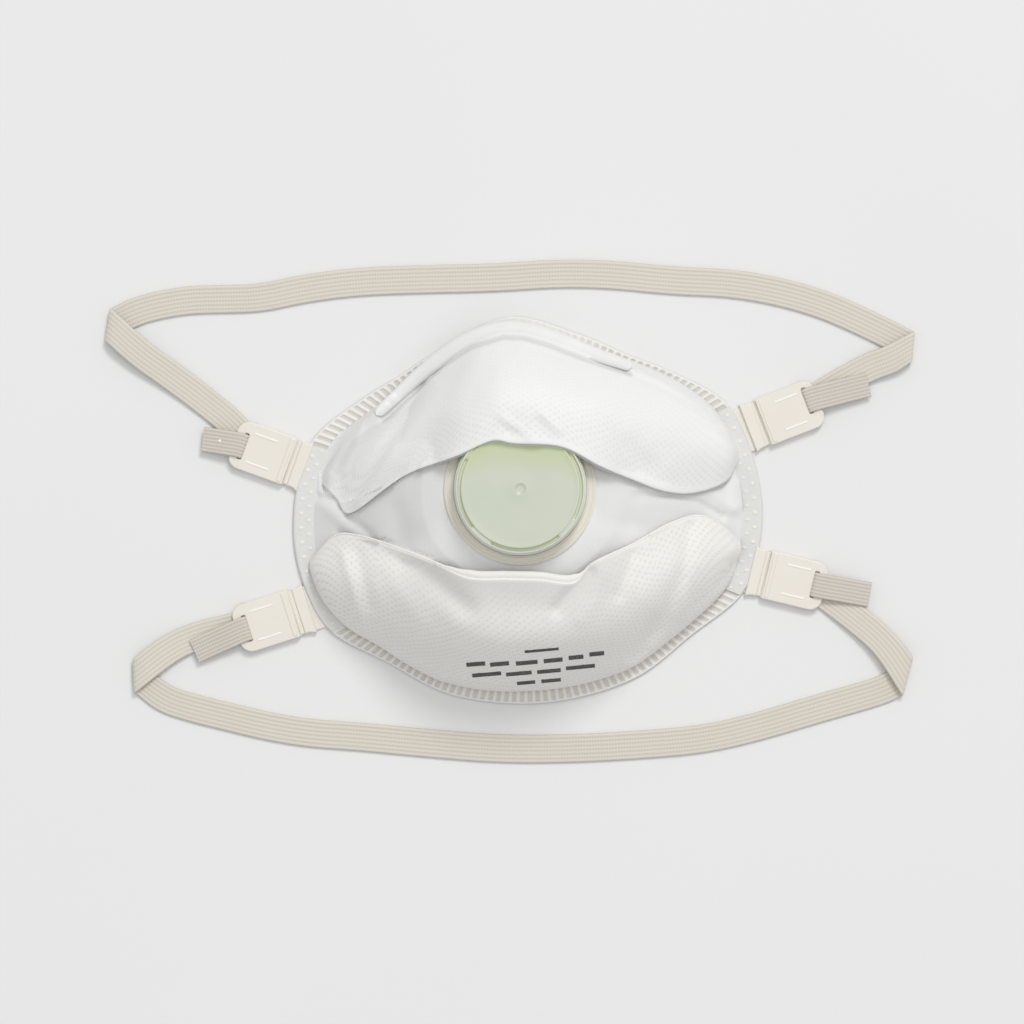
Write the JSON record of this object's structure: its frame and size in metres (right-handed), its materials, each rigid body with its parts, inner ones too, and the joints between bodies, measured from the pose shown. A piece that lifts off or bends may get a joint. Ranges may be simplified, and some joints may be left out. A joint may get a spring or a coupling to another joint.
{
  "type": "disposable dust mask",
  "caption": "Cup-shaped disposable dust mask with pleated front panels, round exhalation valve, nose clip, hinged side buckles and two elastic head straps.",
  "frame": {"origin": "on the plane of the face-side edge, in the middle of the mask's outline including its buckles", "axes": "+X to the mask's right as seen from the front, +Y towards the nose, +Z out of the front along the valve's axis"},
  "size_m": [0.2373, 0.1479, 0.0485],
  "materials": {
    "liner": "soft white nonwoven",
    "filter": "matt white melt-blown fleece",
    "smooth_nonwoven": "smooth white nonwoven",
    "embossed_nonwoven": "white nonwoven with a fine embossed grid",
    "welded_edge": "pressed and welded nonwoven, faintly translucent",
    "buckle_plastic": "milky polypropylene with a soft sheen",
    "elastic_webbing": "ribbed braided elastic",
    "clip_coating": "white plastic-coated wire",
    "foam": "fine-celled soft foam",
    "valve_body": "milky moulded plastic",
    "valve_cover": "milky green-white moulded plastic, satin",
    "diaphragm": "thin translucent silicone"
  },
  "bodies": {
    "root": {"inner_liner": "liner", "filter_layer": "filter", "centre_panel": "smooth_nonwoven", "upper_panel": "embossed_nonwoven", "lower_panel": "embossed_nonwoven", "rim_weld_upper": "welded_edge", "rim_weld_lower": "welded_edge", "side_strip_left": "welded_edge", "side_strip_right": "welded_edge", "side_yoke_left": "buckle_plastic", "side_yoke_right": "buckle_plastic", "upper_strap": "elastic_webbing", "lower_strap": "elastic_webbing", "nose_clip": "clip_coating", "nose_foam": "foam", "valve_base": "valve_body", "valve_cover": "valve_cover", "valve_retaining_ring": "valve_body"},
    "buckle_upper_left": {"buckle_upper_left": "buckle_plastic", "strap_end_upper_left": "elastic_webbing"},
    "buckle_upper_right": {"buckle_upper_right": "buckle_plastic", "strap_end_upper_right": "elastic_webbing"},
    "buckle_lower_left": {"buckle_lower_left": "buckle_plastic", "strap_end_lower_left": "elastic_webbing"},
    "buckle_lower_right": {"buckle_lower_right": "buckle_plastic", "strap_end_lower_right": "elastic_webbing"},
    "valve_flap": {"valve_diaphragm": "diaphragm"}
  },
  "joints": [
    {"name": "upper_left_buckle_hinge", "type": "hinge", "parent": "root", "child": "buckle_upper_left", "pos_m": [-0.0682, 0.0205, 0.0006], "axis": [0.4226, 0.9063, 0], "range_deg": [-30, 60], "stiffness_Nm_per_rad": 0.0015},
    {"name": "upper_right_buckle_hinge", "type": "hinge", "parent": "root", "child": "buckle_upper_right", "pos_m": [0.0715, 0.0195, 0.0006], "axis": [0.2756, -0.9613, 0], "range_deg": [-30, 60], "stiffness_Nm_per_rad": 0.0015},
    {"name": "lower_left_buckle_hinge", "type": "hinge", "parent": "root", "child": "buckle_lower_left", "pos_m": [-0.0711, -0.0239, 0.0006], "axis": [-0.2164, 0.9763, 0], "range_deg": [-30, 60], "stiffness_Nm_per_rad": 0.0015},
    {"name": "lower_right_buckle_hinge", "type": "hinge", "parent": "root", "child": "buckle_lower_right", "pos_m": [0.0684, -0.0251, 0.0006], "axis": [-0.3206, -0.9472, 0], "range_deg": [-30, 60], "stiffness_Nm_per_rad": 0.0015},
    {"name": "valve_flap_lift", "type": "slide", "parent": "root", "child": "valve_flap", "axis": [0, 0, 1], "range_m": [0, 0.0015], "stiffness_N_per_m": 5}
  ]
}
